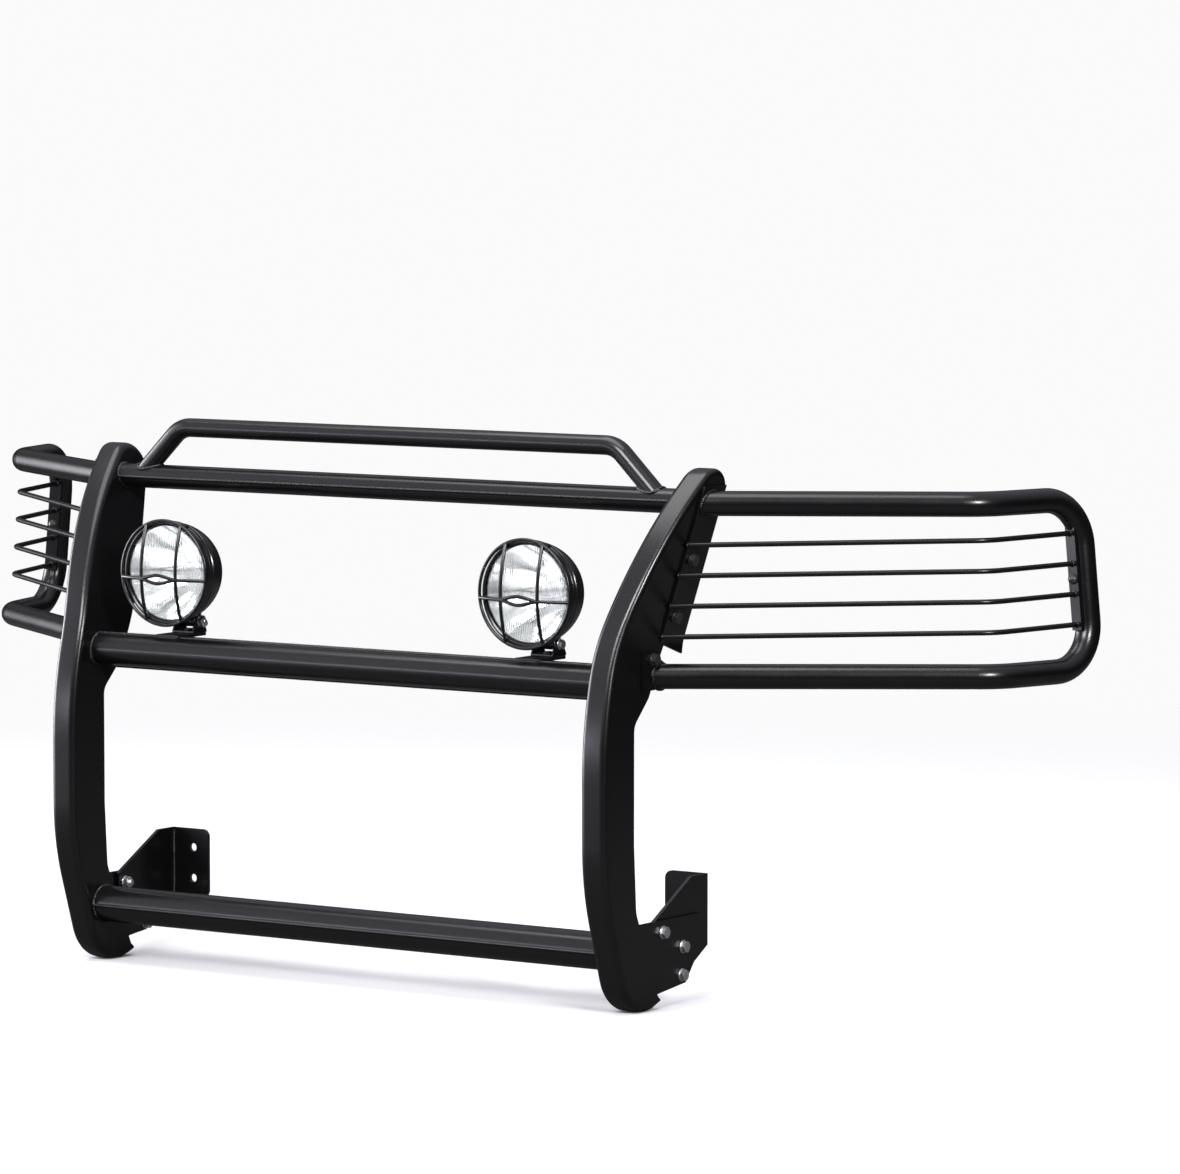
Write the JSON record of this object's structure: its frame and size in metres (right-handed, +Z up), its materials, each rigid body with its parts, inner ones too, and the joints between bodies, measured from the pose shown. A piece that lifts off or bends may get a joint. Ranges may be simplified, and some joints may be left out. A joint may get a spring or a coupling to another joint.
{
  "type": "front grille guard",
  "caption": "Bolt-on black steel front guard for a pickup: plate uprights, cross tubes, hoop, wrap-round headlight wings and round driving lamps that swivel and tilt",
  "frame": {"origin": "middle of the rectangle of four holes that bolt onto the ends of the truck's frame rails, on the rear face of the bracket flanges", "axes": "+Z up, -Y is the front of the guard, +Y towards the truck, +X across to the left-hand side of a person sitting in the truck"},
  "size_m": [2.0428, 0.6271, 0.86],
  "materials": {
    "powder_black": "satin black powder coat over mild steel",
    "guard_black": "satin black coated steel wire",
    "lamp_black": "satin black painted steel shell",
    "zinc_plate": "bright zinc plate",
    "black_oxide": "black oxide steel fasteners",
    "lens_glass": "clear fluted glass",
    "bright_reflector": "vacuum-metallised bright reflector",
    "bulb_glass": "clear quartz envelope",
    "black_plastic": "moulded black plastic",
    "black_rubber": "moulded black rubber"
  },
  "bodies": {
    "guard": {"bracket_bolts": "zinc_plate", "bracket_nuts": "zinc_plate", "bracket_washers": "zinc_plate", "foot_plates": "powder_black", "grille_hoop": "powder_black", "lamp_bar": "powder_black", "lamp_mount_nuts": "zinc_plate", "lamp_mount_studs": "zinc_plate", "lamp_tabs": "powder_black", "left_frame_bracket": "powder_black", "left_upright_face": "powder_black", "left_upright_inner_cheek": "powder_black", "left_upright_outer_cheek": "powder_black", "left_wing_inner_strip": "powder_black", "left_wing_loop": "powder_black", "left_wing_outer_strip": "powder_black", "left_wing_rods": "powder_black", "lower_bar": "powder_black", "right_frame_bracket": "powder_black", "right_upright_face": "powder_black", "right_upright_inner_cheek": "powder_black", "right_upright_outer_cheek": "powder_black", "right_wing_inner_strip": "powder_black", "right_wing_loop": "powder_black", "right_wing_outer_strip": "powder_black", "right_wing_rods": "powder_black", "top_crossbar": "powder_black", "wing_bolts": "black_oxide", "wing_lower_tabs": "powder_black", "wing_nuts": "black_oxide", "wing_strip_studs": "black_oxide", "wing_washers": "black_oxide"},
    "left_lamp_foot": {"left_lamp_bracket": "powder_black", "left_lamp_tilt_bolt": "zinc_plate", "left_lamp_tilt_nut": "zinc_plate", "left_lamp_tilt_washers": "zinc_plate"},
    "right_lamp_foot": {"right_lamp_bracket": "powder_black", "right_lamp_tilt_bolt": "zinc_plate", "right_lamp_tilt_nut": "zinc_plate", "right_lamp_tilt_washers": "zinc_plate"},
    "left_lamp_head": {"left_lamp_bulb": "bulb_glass", "left_lamp_bulb_holder": "black_plastic", "left_lamp_gasket": "black_rubber", "left_lamp_gland": "black_rubber", "left_lamp_housing": "lamp_black", "left_lamp_lens": "lens_glass", "left_lamp_reflector": "bright_reflector", "left_lamp_rim": "lamp_black", "left_lamp_rim_screw": "zinc_plate", "left_lamp_stone_guard": "guard_black"},
    "right_lamp_head": {"right_lamp_bulb": "bulb_glass", "right_lamp_bulb_holder": "black_plastic", "right_lamp_gasket": "black_rubber", "right_lamp_gland": "black_rubber", "right_lamp_housing": "lamp_black", "right_lamp_lens": "lens_glass", "right_lamp_reflector": "bright_reflector", "right_lamp_rim": "lamp_black", "right_lamp_rim_screw": "zinc_plate", "right_lamp_stone_guard": "guard_black"}
  },
  "joints": [
    {"name": "left_lamp_pan", "type": "hinge", "parent": "guard", "child": "left_lamp_foot", "pos_m": [-0.342, -0.178, 0.3936], "axis": [0, 0, 1], "range_deg": [-30, 30]},
    {"name": "left_lamp_tilt", "type": "hinge", "parent": "left_lamp_foot", "child": "left_lamp_head", "pos_m": [-0.342, -0.178, 0.4116], "axis": [1, 0, 0], "range_deg": [-20, 10]},
    {"name": "right_lamp_pan", "type": "hinge", "parent": "guard", "child": "right_lamp_foot", "pos_m": [0.342, -0.178, 0.3936], "axis": [0, 0, 1], "range_deg": [-30, 30]},
    {"name": "right_lamp_tilt", "type": "hinge", "parent": "right_lamp_foot", "child": "right_lamp_head", "pos_m": [0.342, -0.178, 0.4116], "axis": [1, 0, 0], "range_deg": [-20, 10]}
  ]
}
